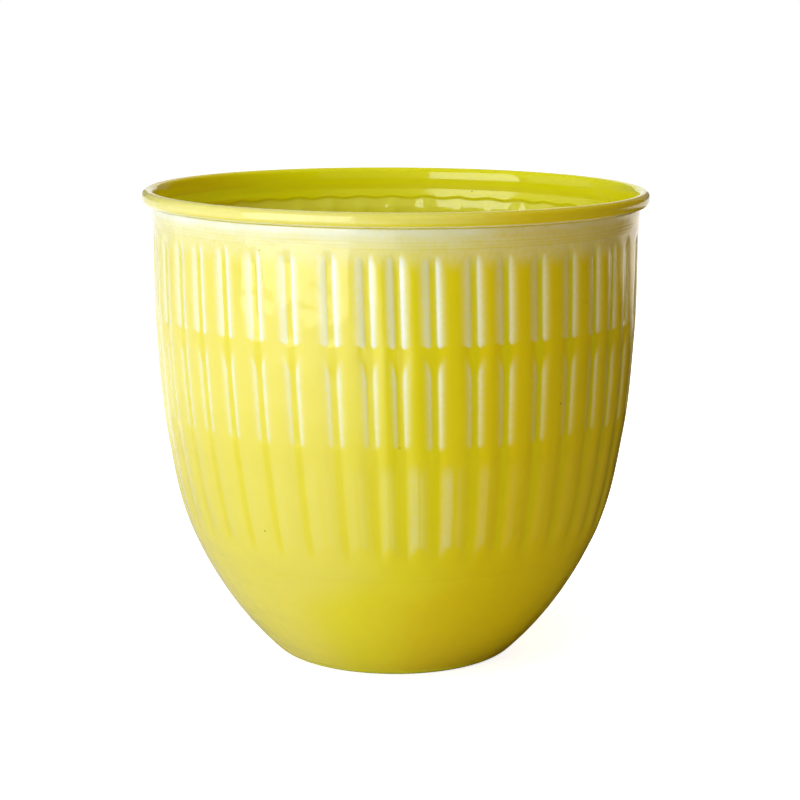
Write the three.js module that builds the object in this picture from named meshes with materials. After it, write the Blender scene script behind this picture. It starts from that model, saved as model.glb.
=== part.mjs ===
// Enamelled sheet metal plant pot with a fluted wall and a rolled rim.
// A drawn bowl, a fluted wall and a wired rim ring slide into each other and are soldered at the laps.
// Millimetres, +Z up, origin on the ground on the pot's axis, front towards -Y.
import * as THREE from 'three';

// Stock and fit
const SHEET = 0.7;
const WIRE_DIAMETER = 2;
const CLEARANCE = 0.3;
const SOLDER_LEG = 1;

// Radii of the outer face, from the ground up
const FOOT_RADIUS = 36;
const FOOT_FILLET = 11.5;
const SEAM_RADIUS = 71.9;
const LOWER_TIER_RADIUS = 82.3;
const MIDDLE_TIER_RADIUS = 85.6;
const UPPER_TIER_RADIUS = 86.4;
const NECK_SWELL = 0.4;
const WAIST_DRAW = 0.5;
const NECK_RADIUS = UPPER_TIER_RADIUS + NECK_SWELL;
const WAIST_RADIUS = NECK_RADIUS - WAIST_DRAW;
const BOWL_SLOPE = THREE.MathUtils.degToRad(43.6);

// Heights of the zones, from the ground up
const BOWL_HEIGHT = 42.5;
const BOWL_LAP = 6.9;
const LOWER_TIER = 31;
const MIDDLE_TIER = 27;
const UPPER_TIER = 31;
const TIER_BREAK = 7.5;
const NECK_MARGIN = 0.6;
const JOGGLE = 0.6;
const NECK_LAP = 3.2;
const WAIST_RISE = 3;

// Underside: the pot stands on a flat ring round a raised middle
const STANDING_RING = 6;
const BASE_RECESS = 1.5;
const RECESS_SLOPE = 2.5;

// Flutes: narrow grooves pressed in from outside, evenly spaced but for one narrow last panel
const FLUTE_COUNT = 42;
const LAST_PANEL = THREE.MathUtils.degToRad(6.3);
const FIRST_GROOVE = THREE.MathUtils.degToRad(-0.4);
const FLUTE_LEAN = THREE.MathUtils.degToRad(2.4);
const GROOVE_WIDTH = 5.6;
const GROOVE_FLOOR = 1.9;
const GROOVE_DEPTH = 1.4;
const LOWER_GROOVE_DEPTH = 1;
const BREAK_FLARE = 1.3;
const BREAK_DEPTH = 0.6;
const GROOVE_RUNOUT = 2.5;
const LOWER_RUNOUT = 6;

// Rolled rim: over the waist the strip flares out, turns round the wire, drops and curls back in
const FLARE_RADIUS = 10;
const FLARE_ANGLE = THREE.MathUtils.degToRad(19);
const CURL_DROP = 1.05;
const CURL_SLIT = 0.4;

// Facets
const TURN_STEPS = 60;
const FLARE_STEPS = 2;
const CURL_STEPS = 5;
const WIRE_SIDES = 8;
const FILLET_STEPS = 3;
const BOWL_STEPS = 5;

const enamel = new THREE.MeshStandardMaterial({ color: 0xdccf33, roughness: 0.2, metalness: 0.1 });
const steel = new THREE.MeshStandardMaterial({ color: 0x9a9a98, roughness: 0.45, metalness: 1 });
const solder = new THREE.MeshStandardMaterial({ color: 0xcfc12c, roughness: 0.35, metalness: 0.2 });

// Levels worked out from the zones
const collarInset = SHEET + CLEARANCE;
const bowlCollarTop = BOWL_HEIGHT + BOWL_LAP;
const flutesFoot = bowlCollarTop + CLEARANCE + SOLDER_LEG + CLEARANCE;
const lowerTierTop = flutesFoot + LOWER_TIER;
const middleTierFoot = lowerTierTop + TIER_BREAK;
const middleTierTop = middleTierFoot + MIDDLE_TIER;
const upperTierFoot = middleTierTop + TIER_BREAK;
const flutesTop = upperTierFoot + UPPER_TIER;
const joggleFoot = flutesTop + NECK_MARGIN;
const joggleTop = joggleFoot + JOGGLE;
const bandFoot = joggleTop + CLEARANCE / 2;
const wallCollarTop = joggleTop + NECK_LAP;
const crestHeight = wallCollarTop + CLEARANCE + SOLDER_LEG;
const waistHeight = crestHeight + WAIST_RISE;

// Outer outline: a foot fillet, then a smooth curve through the radius at each level
const filletTop = FOOT_FILLET * (1 - Math.cos(BOWL_SLOPE));
const filletReach = FOOT_FILLET * Math.sin(BOWL_SLOPE);
const outline = [
  { height: filletTop, radius: FOOT_RADIUS + filletReach },
  { height: BOWL_HEIGHT, radius: SEAM_RADIUS },
  { height: lowerTierTop, radius: LOWER_TIER_RADIUS },
  { height: middleTierTop, radius: MIDDLE_TIER_RADIUS },
  { height: flutesTop, radius: UPPER_TIER_RADIUS },
];

function riseBetween(low, high) {
  return (high.radius - low.radius) / (high.height - low.height);
}

// Growth of the radius with height at one level of the outline
function slopeAtLevel(index) {
  if (index === 0) return 1 / Math.tan(BOWL_SLOPE);
  if (index === outline.length - 1) return 0;
  const [low, here, high] = outline.slice(index - 1, index + 2);
  const span = high.height - low.height;
  const fromBelow = riseBetween(low, here) * (high.height - here.height);
  const fromAbove = riseBetween(here, high) * (here.height - low.height);
  return (fromBelow + fromAbove) / span;
}

function radiusAt(height) {
  const top = outline.length - 1;
  if (height >= outline[top].height) return outline[top].radius;
  const index = Math.max(0, outline.findIndex((level) => level.height > height) - 1);
  const low = outline[index];
  const high = outline[index + 1];
  const span = high.height - low.height;
  const t = (height - low.height) / span;
  const blend = t * t * (3 - 2 * t);
  const lowPull = t * (1 - t) * (1 - t) * span * slopeAtLevel(index);
  const highPull = t * t * (t - 1) * span * slopeAtLevel(index + 1);
  return low.radius * (1 - blend) + high.radius * blend + lowPull + highPull;
}

// Point of a sheet whose outer face has this height, sunk into the pot square to the outline
function surfacePoint(height, sunk) {
  const step = 0.01;
  const slope = (radiusAt(height + step) - radiusAt(height - step)) / (2 * step);
  const length = Math.hypot(1, slope);
  return new THREE.Vector2(radiusAt(height) - sunk / length, height + (sunk * slope) / length);
}

// Evenly spaced numbers from first to last, both included
function spread(first, last, steps) {
  return Array.from({ length: steps + 1 }, (_, i) => first + ((last - first) * i) / steps);
}

function arc(centre, radius, angles) {
  return angles.map((angle) => new THREE.Vector2(
    centre.x + radius * Math.cos(angle),
    centre.y + radius * Math.sin(angle),
  ));
}

// Solid of revolution about Z; the profile runs up the outside and down the inside
function turned(profile) {
  return new THREE.LatheGeometry(profile, TURN_STEPS).rotateX(Math.PI / 2);
}

function turnedRing(profile) {
  return turned([...profile, profile[0].clone()]);
}

function piece(name, geometry, material) {
  const mesh = new THREE.Mesh(geometry, material);
  mesh.name = name;
  return mesh;
}

// Drawn bowl with a standing ring, a raised middle and a joggled collar that slides up into the wall
function baseBowl() {
  const ringInside = FOOT_RADIUS - STANDING_RING;
  const filletCentre = new THREE.Vector2(FOOT_RADIUS, FOOT_FILLET);
  const filletAngles = spread(-Math.PI / 2, BOWL_SLOPE - Math.PI / 2, FILLET_STEPS);
  const sideHeights = spread(filletTop, BOWL_HEIGHT - JOGGLE, BOWL_STEPS).slice(1);
  const outside = [
    new THREE.Vector2(0, BASE_RECESS),
    new THREE.Vector2(ringInside - RECESS_SLOPE, BASE_RECESS),
    new THREE.Vector2(ringInside, 0),
    ...arc(filletCentre, FOOT_FILLET, filletAngles),
    ...sideHeights.map((height) => surfacePoint(height, 0)),
  ];
  const collar = [
    surfacePoint(BOWL_HEIGHT, collarInset),
    surfacePoint(bowlCollarTop, collarInset),
    surfacePoint(bowlCollarTop, collarInset + SHEET),
    surfacePoint(BOWL_HEIGHT, collarInset + SHEET),
  ];
  const inside = [
    ...sideHeights.reverse().map((height) => surfacePoint(height, SHEET)),
    ...arc(filletCentre, FOOT_FILLET - SHEET, filletAngles.reverse()),
    new THREE.Vector2(ringInside, SHEET),
    new THREE.Vector2(ringInside - RECESS_SLOPE, BASE_RECESS + SHEET),
    new THREE.Vector2(0, BASE_RECESS + SHEET),
  ];
  return turned([...outside, ...collar, ...inside]);
}

// How far the neck's crest has taken the rim ring's band out at a height over the band's foot
function bandReach(height) {
  return (NECK_SWELL * (height - bandFoot)) / (crestHeight - bandFoot);
}

// Rows of the fluted wall, bottom to top: how far the sheet is set in and how the grooves are pressed there
function wallRows() {
  const plain = (height, inset = 0) => ({ height, inset, depth: 0, flare: 1 });
  const flared = (height) => ({ height, inset: 0, depth: BREAK_DEPTH, flare: BREAK_FLARE });
  const pressed = (foot, top, depth) => [foot, top].map(
    (height) => ({ height, inset: 0, depth, flare: 1 }),
  );
  return [
    plain(BOWL_HEIGHT + CLEARANCE),
    plain(flutesFoot),
    ...pressed(flutesFoot + LOWER_RUNOUT, lowerTierTop - GROOVE_RUNOUT, LOWER_GROOVE_DEPTH),
    flared(lowerTierTop),
    flared(middleTierFoot),
    ...pressed(middleTierFoot + GROOVE_RUNOUT, middleTierTop - GROOVE_RUNOUT, GROOVE_DEPTH),
    flared(middleTierTop),
    flared(upperTierFoot),
    ...pressed(upperTierFoot + GROOVE_RUNOUT, flutesTop - GROOVE_RUNOUT, GROOVE_DEPTH),
    plain(flutesTop),
    plain(joggleFoot),
    plain(joggleTop, collarInset),
    plain(wallCollarTop, collarInset - bandReach(wallCollarTop)),
  ];
}

// Angle of a groove's middle, from the front towards +X, leaning over as the groove runs down
function grooveAngle(index, height) {
  const pitch = (2 * Math.PI - LAST_PANEL) / (FLUTE_COUNT - 1);
  const fall = (flutesTop - height) / (flutesTop - flutesFoot);
  return FIRST_GROOVE + index * pitch + FLUTE_LEAN * fall;
}

// Fluted wall: one sheet of even thickness, so each groove stands proud on the inside
function flutedWall() {
  const rows = wallRows();
  const outerFace = rows.map((row) => ({ ...row, sunk: row.inset }));
  const innerFace = rows.map((row) => ({ ...row, sunk: row.inset + SHEET })).reverse();
  const rings = [...outerFace, ...innerFace];
  const section = [
    { across: -GROOVE_WIDTH / 2, pressed: false },
    { across: -GROOVE_FLOOR / 2, pressed: true },
    { across: GROOVE_FLOOR / 2, pressed: true },
    { across: GROOVE_WIDTH / 2, pressed: false },
  ];
  const columns = FLUTE_COUNT * section.length;
  const positions = [];
  for (const ring of rings) {
    for (let column = 0; column < columns; column += 1) {
      const { across, pressed } = section[column % section.length];
      const groove = Math.floor(column / section.length);
      const angle = grooveAngle(groove, ring.height) + (across * ring.flare) / radiusAt(ring.height);
      const point = surfacePoint(ring.height, ring.sunk + (pressed ? ring.depth : 0));
      positions.push(point.x * Math.sin(angle), -point.x * Math.cos(angle), point.y);
    }
  }
  const faces = [];
  rings.forEach((_, ring) => {
    const here = ring * columns;
    const above = ((ring + 1) % rings.length) * columns;
    for (let column = 0; column < columns; column += 1) {
      const next = (column + 1) % columns;
      faces.push(here + column, here + next, above + column);
      faces.push(here + next, above + next, above + column);
    }
  });
  const geometry = new THREE.BufferGeometry();
  geometry.setAttribute('position', new THREE.Float32BufferAttribute(positions, 3));
  geometry.setIndex(faces);
  geometry.computeVertexNormals();
  return geometry;
}

// Sizes of the curl, shared by the rim ring and the wire that it holds
const curlInside = WIRE_DIAMETER / 2 + CLEARANCE;
const curlMiddle = curlInside + SHEET / 2;
const curlOutside = curlInside + SHEET;
const waist = new THREE.Vector2(WAIST_RADIUS - SHEET / 2, waistHeight);
const curlTop = new THREE.Vector2(
  waist.x + FLARE_RADIUS - (FLARE_RADIUS - curlMiddle) * Math.cos(FLARE_ANGLE),
  waist.y + (FLARE_RADIUS - curlMiddle) * Math.sin(FLARE_ANGLE),
);
const curlFoot = new THREE.Vector2(curlTop.x, curlTop.y - CURL_DROP);

// Line beside another one, square to it and on its right for a line that runs up
function besideLine(line, distance) {
  return line.map((point, i) => {
    const before = point.clone().sub(line[Math.max(i - 1, 0)]).normalize();
    const after = line[Math.min(i + 1, line.length - 1)].clone().sub(point).normalize();
    const along = before.clone().add(after).normalize();
    const bend = i === 0 || i === line.length - 1 ? 1 : along.dot(after);
    return new THREE.Vector2(point.x + (along.y * distance) / bend, point.y - (along.x * distance) / bend);
  });
}

// Rim ring: a strip that leans out to the neck's crest, in to the waist, then flares and curls round the wire
function rimRing() {
  const flareCentre = new THREE.Vector2(waist.x + FLARE_RADIUS, waist.y);
  const slitReach = (WAIST_RADIUS + CURL_SLIT - curlFoot.x) / curlOutside;
  const middle = [
    new THREE.Vector2(UPPER_TIER_RADIUS - SHEET / 2, bandFoot),
    new THREE.Vector2(NECK_RADIUS - SHEET / 2, crestHeight),
    ...arc(flareCentre, FLARE_RADIUS, spread(Math.PI, Math.PI - FLARE_ANGLE, FLARE_STEPS)),
    ...arc(curlTop, curlMiddle, spread(Math.PI - FLARE_ANGLE, 0, CURL_STEPS).slice(1)),
    ...arc(curlFoot, curlMiddle, spread(0, -Math.acos(slitReach), CURL_STEPS)),
  ];
  return turnedRing([...besideLine(middle, SHEET / 2), ...besideLine(middle, -SHEET / 2).reverse()]);
}

// Steel wire that stiffens the curl
function rimWire() {
  const angles = spread(0, 2 * Math.PI, WIRE_SIDES).slice(0, -1);
  const centre = curlTop.clone().add(curlFoot).divideScalar(2);
  return turnedRing(arc(centre, WIRE_DIAMETER / 2, angles));
}

// Solder fillet in the corner between a collar's top edge and the sheet round it, which may lean out by reach
function solderFillet(collarTop, reach) {
  const foot = collarTop + CLEARANCE;
  const top = foot + SOLDER_LEG;
  return turnedRing([
    surfacePoint(foot, collarInset - reach(foot)),
    surfacePoint(top, collarInset - reach(top)),
    surfacePoint(foot, collarInset - reach(foot) + SOLDER_LEG),
  ]);
}

const pot = new THREE.Group();
pot.name = 'plant_pot';
pot.add(
  piece('base_bowl', baseBowl(), enamel),
  piece('base_solder', solderFillet(bowlCollarTop, () => 0), solder),
  piece('fluted_wall', flutedWall(), enamel),
  piece('neck_solder', solderFillet(wallCollarTop, bandReach), solder),
  piece('rim_ring', rimRing(), enamel),
  piece('rim_wire', rimWire(), steel),
);

export default pot;
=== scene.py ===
"""Looks of an enamelled sheet metal plant pot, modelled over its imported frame.

Sizes are in millimetres and are turned to metres as a mesh is drawn. The front of the pot is towards -Y,
angles round the pot run from the front towards +X, and the camera stands where the photographer stood.
"""

import logging
import math
from dataclasses import dataclass, field
from enum import Enum

import bpy
import numpy as np
from bpy.types import Material, Node, NodeSocket, Object, ShaderNodeTree
from mathutils import Matrix


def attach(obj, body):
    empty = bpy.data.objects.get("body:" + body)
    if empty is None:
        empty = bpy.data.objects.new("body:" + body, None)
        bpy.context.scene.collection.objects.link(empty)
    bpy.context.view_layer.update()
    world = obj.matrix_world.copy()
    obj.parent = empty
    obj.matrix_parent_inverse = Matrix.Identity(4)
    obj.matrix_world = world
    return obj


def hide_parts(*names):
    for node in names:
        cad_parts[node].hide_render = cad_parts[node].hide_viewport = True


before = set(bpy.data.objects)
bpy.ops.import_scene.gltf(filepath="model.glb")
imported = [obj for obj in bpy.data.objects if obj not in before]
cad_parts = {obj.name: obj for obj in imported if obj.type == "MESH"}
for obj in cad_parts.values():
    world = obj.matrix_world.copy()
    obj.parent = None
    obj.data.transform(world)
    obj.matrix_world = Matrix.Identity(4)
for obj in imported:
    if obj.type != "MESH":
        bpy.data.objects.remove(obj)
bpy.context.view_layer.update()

Pair = tuple[float, float]
Triple = tuple[float, float, float]
Colour = tuple[float, float, float, float]
Series = tuple[float, ...]
Array = np.ndarray
Values = float | Array

MM = 0.001
SHEET = 0.7
SEAM = 42.5
VALLEY_DEPTH = 0.06
VALLEY_WIDTH = 1.9
WELD = 0.002
HAIR = 0.01
FULL_TURN = 2.0 * math.pi
# Painted shade: the right side of the outside, and the whole inside, take a darker, more orange yellow where
# the lamps leave them in shade.
SHADE_SIDE = ((2.0, 32.0), (160.0, 110.0))
# How far the painted shade dims the pale thin places on the right.
SHADE_COVER = 0.52
# Painted light: the left side of the outside, facing the main lamp, takes a paler, milkier yellow.
LIT_SIDE = ((4.0, -24.0), (-175.0, -120.0))
# Painted light inside: the inside takes a brighter, greener yellow, but for the left inside, left in painted
# shade.
INSIDE_SHADED_SIDE = ((-155.0, -118.0), (-40.0, -80.0))
INSIDE_SHADE_COVER = 0.75
WHITE = (1.0, 1.0, 1.0, 1.0)
DARK = (0.03, 0.025, 0.02, 1.0)
log = logging.getLogger("plant_pot")


class Slot(Enum):
    """Material slots of the pot's pieces."""

    ENAMEL = "enamel"
    SOLDER = "painted_solder"
    WIRE = "wire"


class Tier(Enum):
    """The three tiers of flutes, from the bowl up."""

    LOWER = "lower"
    MIDDLE = "middle"
    UPPER = "upper"


class Face(Enum):
    """The two faces of a sheet."""

    OUTER = "outer"
    INNER = "inner"


def ease(start: Values, end: Values, value: Values) -> Array:
    """Blends smoothly from 0 at start to 1 at end, which may lie below start."""
    part = np.clip((value - start) / (np.asarray(end) - start), 0.0, 1.0)
    return part * part * (3.0 - 2.0 * part)


def bump(centre: float, width: float, value: Values) -> Array:
    """Gives a soft bump of height 1 round a centre."""
    return np.exp(-(((np.asarray(value) - centre) / width) ** 2))


def valley(height: Array) -> Array:
    """Gives the depth of the shallow valley that runs along the bowl's seam."""
    return VALLEY_DEPTH * bump(SEAM, VALLEY_WIDTH, height)


def wrapped(angle: Array) -> Array:
    """Brings angles in degrees to between -180 and 180."""
    return (np.asarray(angle) + 180.0) % 360.0 - 180.0


def share_round(angle: Array, side: tuple[Pair, Pair]) -> Array:
    """Gives a share that is full on one side of the pot; each pair holds the angles of none and of full."""
    turned = wrapped(angle)
    return ease(*side[0], turned) * ease(*side[1], turned)


def side_shade_share(angle: Array) -> Array:
    """Gives the share of painted shade round the pot, a darker, more orange yellow: full on the right, which
    the lamps leave in shade.
    """
    return share_round(angle, SHADE_SIDE)


def coat_share(angle: Array) -> Array:
    """Gives how much of the enamel's thin places shows round the pot: less on the right, where painted shade
    dims them.
    """
    return 1.0 - SHADE_COVER * side_shade_share(angle)


def lit_side_share(angle: Array) -> Array:
    """Gives the share of painted light round the pot, a paler, milkier yellow: full on the left, which faces
    the main lamp.
    """
    return share_round(angle, LIT_SIDE)


def inside_light_share(angle: Array) -> Array:
    """Gives the share of painted light on the inside, a brighter, greener yellow: least on the left inside,
    which keeps its painted shade, darker and more golden.
    """
    return 1.0 - INSIDE_SHADE_COVER * share_round(angle, INSIDE_SHADED_SIDE)


def arc(centre: Pair, radius: float, first: float, last: float, steps: int) -> Array:
    """Places points along an arc in the plane of a profile, between two angles in degrees."""
    angles = np.radians(np.linspace(first, last, steps + 1))
    return np.column_stack((centre[0] + radius * np.cos(angles), centre[1] + radius * np.sin(angles)))


def beside(line: Array, distance: float) -> Array:
    """Shifts a line square to itself, to the right of its run.

    Args:
        line: Points as rows of radius and height.
        distance: How far to shift; a negative distance shifts to the left.

    Returns:
        The shifted points.
    """
    along = np.gradient(line, axis=0)
    along /= np.linalg.norm(along, axis=1)[:, None]
    return line + distance * np.column_stack((along[:, 1], -along[:, 0]))


def climb(start: float, zones: tuple[tuple[float, int], ...]) -> Array:
    """Spaces rows up a wall.

    Args:
        start: Height of the first row.
        zones: Height where each zone ends, and how many rows climb it.

    Returns:
        All the heights, from the lowest up.
    """
    heights = [start]
    for top, rows in zones:
        heights.extend(np.linspace(heights[-1], top, rows + 1)[1:])
    return np.array(heights)


def over_groove(left: Series, right: Series, panel: float = 0.0) -> Array:
    """Lays values for the two halves of a groove out over the whole of it, after one value for the panel."""
    return np.array((panel, *left[:0:-1], *right))


def closed(profile: Array) -> Array:
    """Brings a profile back to its first point."""
    return np.vstack((profile, profile[:1]))


def deselect_all() -> None:
    """Leaves nothing selected, in object mode."""
    if bpy.context.mode != "OBJECT":
        bpy.ops.object.mode_set(mode="OBJECT")
    bpy.ops.object.select_all(action="DESELECT")


def turn(name: str, profile: Array, steps: int) -> Object:
    """Turns a profile about the pot's axis: a small plane, merged to a point, is extruded along it and spun.

    Args:
        name: Name of the new piece.
        profile: A closed profile, or one that starts and ends on the axis, in millimetres.
        steps: How many steps go round the pot.

    Returns:
        The new object, in object mode, with its faces pointing outwards.
    """
    deselect_all()
    bpy.ops.mesh.primitive_plane_add(size=MM)
    turned = bpy.context.object
    turned.name = name
    turned.data.name = name
    bpy.ops.object.mode_set(mode="EDIT")
    bpy.ops.mesh.select_all(action="SELECT")
    bpy.ops.mesh.merge(type="CENTER")
    bpy.ops.transform.translate(value=(profile[0][0] * MM, 0.0, profile[0][1] * MM))
    for step in np.diff(profile, axis=0) * MM:
        bpy.ops.mesh.extrude_vertices_move(TRANSFORM_OT_translate={"value": (step[0], 0.0, step[1])})
    bpy.ops.mesh.select_all(action="SELECT")
    bpy.ops.mesh.spin(steps=steps, angle=FULL_TURN, center=(0.0, 0.0, 0.0), axis=(0.0, 0.0, 1.0))
    bpy.ops.mesh.select_all(action="SELECT")
    bpy.ops.mesh.remove_doubles(threshold=WELD * MM)
    bpy.ops.mesh.normals_make_consistent(inside=False)
    bpy.ops.object.mode_set(mode="OBJECT")
    return turned


def smooth(piece: Object, angle: float) -> None:
    """Shades a piece smooth but for its sharp edges.

    Args:
        piece: The piece.
        angle: The least angle of a sharp edge, in degrees.
    """
    deselect_all()
    piece.select_set(True)
    bpy.context.view_layer.objects.active = piece
    bpy.ops.object.shade_smooth_by_angle(angle=math.radians(angle))


def read_vertices(piece: Object) -> tuple[Array, Array, Array, Array]:
    """Reads where a piece's vertices are.

    Args:
        piece: The piece.

    Returns:
        Places as rows of X, Y and Z in millimetres, angles round the pot in radians, radii and heights.
    """
    places = np.empty(len(piece.data.vertices) * 3)
    piece.data.vertices.foreach_get("co", places)
    places = places.reshape(-1, 3) / MM
    right, back, height = places.T
    return places, np.arctan2(right, -back), np.hypot(right, back), height


def set_vertex_places(piece: Object, places: Array) -> None:
    """Moves a piece's vertices to places in millimetres."""
    piece.data.vertices.foreach_set("co", (places * MM).ravel())
    piece.data.update()


def nearest_rows(profile: Array, points: Array) -> Array:
    """Finds the profile point that each turned vertex came from, by its radius and height."""
    parts = np.array_split(points, 40)
    return np.concatenate([((part[:, None] - profile) ** 2).sum(axis=2).argmin(axis=1) for part in parts])


def store(piece: Object, name: str, values: Array) -> None:
    """Stores a value for each vertex of a piece under a name that its material reads."""
    layer = piece.data.attributes.new(name, "FLOAT", "POINT")
    layer.data.foreach_set("value", np.ascontiguousarray(values, dtype=np.float32))


def lay_coat(
    piece: Object, thin: Array, pool_and_shade: Array, outer: Array, angle: Array, lead: Values = 0.0,
) -> None:
    """Stores the masks that the enamel on a sheet piece is blended from.

    Args:
        piece: The piece.
        thin: How far the coat has drawn thin at each vertex; on the wall's inside and at the front of the
            lower tier it also carries painted light.
        pool_and_shade: How far the colour is darkened, partly by enamel collecting in hollows and partly as
            painted shade.
        outer: Which vertices are on the outer face.
        angle: Angles round the pot, in degrees from the front.
        lead: Degrees by which the shares of painted shade and painted light are read ahead.
    """
    store(piece, "thin", thin)
    store(piece, "pool_and_shade", pool_and_shade)
    # Painted shade on the right side and all over the inside, painted light on the left side, and the
    # inside's painted light.
    store(piece, "side_shade", np.where(outer, side_shade_share(angle + lead), 1.0))
    store(piece, "lit_side", outer * lit_side_share(angle + lead))
    store(piece, "inner", (1.0 - outer) * inside_light_share(angle))


def settle(piece: Object, node: str, material: Material) -> None:
    """Gives a piece its finish, and lets it stand for its CAD node and ride on the pot.

    Args:
        piece: The built piece.
        node: Name of the CAD node that it stands for.
        material: The finish of that slot.
    """
    piece.data.materials.append(material)
    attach(piece, "root")
    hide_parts(node)
    log.info("%s: %d faces", piece.name, len(piece.data.polygons))


@dataclass
class NodeTree:
    """A short way to place and join the nodes of a material, group or world."""

    tree: ShaderNodeTree

    def add(self, kind: str, inputs: dict[str | int, object] | None = None, **settings: object) -> Node:
        """Places a node.

        Args:
            kind: Blender's name for the kind of node.
            inputs: What the node's inputs are given: another node's output, or a plain value.
            settings: The node's own properties.

        Returns:
            The new node.
        """
        node = self.tree.nodes.new(kind)
        for name, value in settings.items():
            setattr(node, name, value)
        self.fill(node, inputs or {})
        return node

    def fill(self, node: Node, inputs: dict[str | int, object]) -> None:
        """Gives a node's inputs other nodes' outputs, or plain values.

        Args:
            node: The node.
            inputs: What each input is given, by its name or number.
        """
        for socket, value in inputs.items():
            if isinstance(value, NodeSocket):
                self.tree.links.new(value, node.inputs[socket])
            else:
                node.inputs[socket].default_value = value

    def math(self, operation: str, first: object, second: object, clamp: bool = False) -> NodeSocket:
        """Works out one number from two, as Blender's Math node names the operation."""
        node = self.add("ShaderNodeMath", {0: first, 1: second}, operation=operation, use_clamp=clamp)
        return node.outputs[0]

    def times(self, first: object, second: object) -> NodeSocket:
        """Multiplies two numbers."""
        return self.math("MULTIPLY", first, second)

    def plus(self, first: object, second: object) -> NodeSocket:
        """Adds two numbers."""
        return self.math("ADD", first, second)

    def span(self, value: object, low: float, high: float) -> NodeSocket:
        """Blends smoothly from 0 where a value is low to 1 where it is high."""
        inputs = {"Value": value, "From Min": low, "From Max": high}
        return self.add("ShaderNodeMapRange", inputs, interpolation_type="SMOOTHSTEP").outputs["Result"]

    def blend(self, factor: object, first: object, second: object) -> NodeSocket:
        """Mixes two colours, the first at a factor of 0 and the second at 1."""
        return self.add("ShaderNodeMix", {0: factor, 6: first, 7: second}, data_type="RGBA").outputs[2]

    def place(self) -> NodeSocket:
        """Gives coordinates in metres, which stay with the piece."""
        return self.add("ShaderNodeTexCoord").outputs["Object"]

    def noise(self, grains: object, detail: float) -> NodeSocket:
        """Gives a noise of about 0.5 with so many grains in a metre, and finer layers for detail."""
        inputs = {"Vector": self.place(), "Scale": grains, "Detail": detail}
        return self.add("ShaderNodeTexNoise", inputs).outputs[0]

    def stored(self, name: str) -> NodeSocket:
        """Reads a value that is stored for each vertex."""
        return self.add("ShaderNodeAttribute", attribute_name=name).outputs["Fac"]

    def group(self, tree: ShaderNodeTree, inputs: tuple[object, ...]) -> NodeSocket:
        """Places a node group, with its inputs in their order, and gives its one output."""
        return self.add("ShaderNodeGroup", dict(enumerate(inputs)), node_tree=tree).outputs[0]

    def relief(self, height: NodeSocket, distance: float) -> NodeSocket:
        """Gives the normal of a skin with a height from 0 to 1 over a distance in millimetres."""
        return self.add("ShaderNodeBump", {"Distance": distance * MM, "Height": height}).outputs["Normal"]


def node_group(name: str, inputs: tuple[str, ...], output: str) -> tuple[NodeTree, Node, Node]:
    """Starts a shader node group of plain numbers.

    Args:
        name: Name of the group.
        inputs: Names of its inputs.
        output: Name of its one output.

    Returns:
        The group's nodes, its input node and its output node.
    """
    group = bpy.data.node_groups.new(name, "ShaderNodeTree")
    for socket in inputs:
        group.interface.new_socket(socket, in_out="INPUT", socket_type="NodeSocketFloat")
    group.interface.new_socket(output, in_out="OUTPUT", socket_type="NodeSocketFloat")
    nodes = NodeTree(group)
    return nodes, nodes.add("NodeGroupInput"), nodes.add("NodeGroupOutput")


def orange_peel_group() -> ShaderNodeTree:
    """Builds the uneven skin of thickly fired enamel: long soft waves and short ripples.

    Returns:
        The group that gives the skin's height.
    """
    nodes, given, result = node_group("orange_peel", ("Waves", "Ripples", "Ripple Share"), "Height")
    waves = nodes.noise(given.outputs["Waves"], 1.0)
    ripples = nodes.times(nodes.noise(given.outputs["Ripples"], 2.0), given.outputs["Ripple Share"])
    nodes.fill(result, {"Height": nodes.plus(waves, ripples)})
    return nodes.tree


def thin_coat_group() -> ShaderNodeTree:
    """Builds the mask of places where enamel has drawn thin and the undercoat shows, with a lumpy edge.

    Returns:
        The group that gives how bare the undercoat is.
    """
    edge = (0.0, 0.25)
    gain = 1.06
    nodes, given, result = node_group("thin_coat", ("Thinness", "Lumps", "Lump Reach"), "Bareness")
    thinness = given.outputs["Thinness"]
    lumps = nodes.math("SUBTRACT", nodes.noise(given.outputs["Lumps"], 3.0), 0.5)
    push = nodes.times(nodes.times(lumps, given.outputs["Lump Reach"]), nodes.span(thinness, *edge))
    nodes.fill(result, {"Bareness": nodes.math("MULTIPLY", nodes.plus(thinness, push), gain, clamp=True)})
    return nodes.tree


def speck_group() -> ShaderNodeTree:
    """Builds sparse dark specks, such as dust that was fired into the enamel.

    Returns:
        The group that gives 1 on a speck and 0 beside it.
    """
    nodes, given, result = node_group("fired_specks", ("Cells", "Speck Size", "Share"), "Specks")
    cells = nodes.add("ShaderNodeTexVoronoi", {"Vector": nodes.place(), "Scale": given.outputs["Cells"]})
    split = nodes.add("ShaderNodeSeparateColor", {0: cells.outputs["Color"]})
    chosen = nodes.math("LESS_THAN", split.outputs[0], given.outputs["Share"])
    size = nodes.times(given.outputs["Speck Size"], split.outputs[1])
    near = nodes.math("LESS_THAN", cells.outputs["Distance"], size)
    nodes.fill(result, {"Specks": nodes.times(chosen, near)})
    return nodes.tree


def new_material(name: str) -> tuple[Material, NodeTree, Node]:
    """Starts a material.

    Args:
        name: Name of the material.

    Returns:
        The material, its nodes and its shader.
    """
    material = bpy.data.materials.new(name)
    material.use_nodes = True
    return material, NodeTree(material.node_tree), material.node_tree.nodes["Principled BSDF"]


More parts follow.
